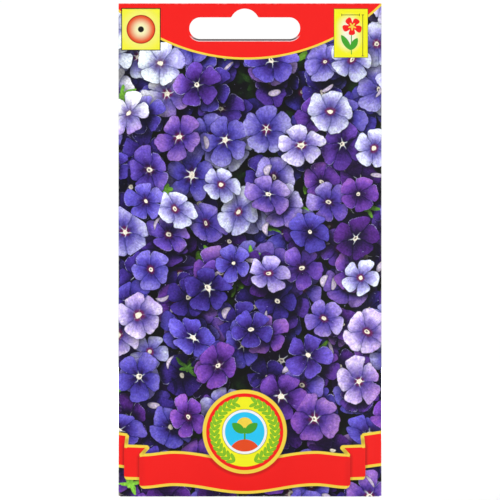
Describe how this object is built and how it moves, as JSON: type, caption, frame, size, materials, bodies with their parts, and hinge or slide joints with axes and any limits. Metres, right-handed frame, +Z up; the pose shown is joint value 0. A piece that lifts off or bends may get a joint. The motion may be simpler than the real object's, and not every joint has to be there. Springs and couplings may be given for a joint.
{
  "type": "seed packet",
  "caption": "Flat glued paper seed packet with a punched hang slot, printed all over the front with violet and blue phlox flowers, holding loose seeds.",
  "frame": {"origin": "top of the hang slot's dome, in the middle of the header's thickness, where a display peg carries the packet", "axes": "+Z up along the packet's height, +Y out of the back, -Y out of the printed front, +X to the right as seen from the front"},
  "size_m": [0.08, 0.0031, 0.15],
  "materials": {
    "printed_paper": "coated paper, glossy four-colour print outside",
    "glue": "thin dried film of paper glue",
    "seed_coat": "dull, finely wrinkled seed coat"
  },
  "bodies": {
    "root": {"paper_sheet": "printed_paper", "header_glue": "glue", "left_flap_glue": "glue", "right_flap_glue": "glue", "seed_01": "seed_coat", "seed_02": "seed_coat", "seed_03": "seed_coat", "seed_04": "seed_coat", "seed_05": "seed_coat", "seed_06": "seed_coat", "seed_07": "seed_coat", "seed_08": "seed_coat", "seed_09": "seed_coat", "seed_10": "seed_coat", "seed_11": "seed_coat", "seed_12": "seed_coat", "seed_13": "seed_coat", "seed_14": "seed_coat", "seed_15": "seed_coat", "seed_16": "seed_coat", "seed_17": "seed_coat", "seed_18": "seed_coat", "seed_19": "seed_coat", "seed_20": "seed_coat", "seed_21": "seed_coat", "seed_22": "seed_coat", "seed_23": "seed_coat", "seed_24": "seed_coat", "seed_25": "seed_coat", "seed_26": "seed_coat", "seed_27": "seed_coat", "seed_28": "seed_coat", "seed_29": "seed_coat", "seed_30": "seed_coat", "seed_31": "seed_coat", "seed_32": "seed_coat", "seed_33": "seed_coat", "seed_34": "seed_coat", "seed_35": "seed_coat", "seed_36": "seed_coat", "seed_37": "seed_coat", "seed_38": "seed_coat", "seed_39": "seed_coat", "seed_40": "seed_coat", "seed_41": "seed_coat", "seed_42": "seed_coat", "seed_43": "seed_coat", "seed_44": "seed_coat", "seed_45": "seed_coat", "seed_46": "seed_coat", "seed_47": "seed_coat", "seed_48": "seed_coat"}
  },
  "joints": []
}
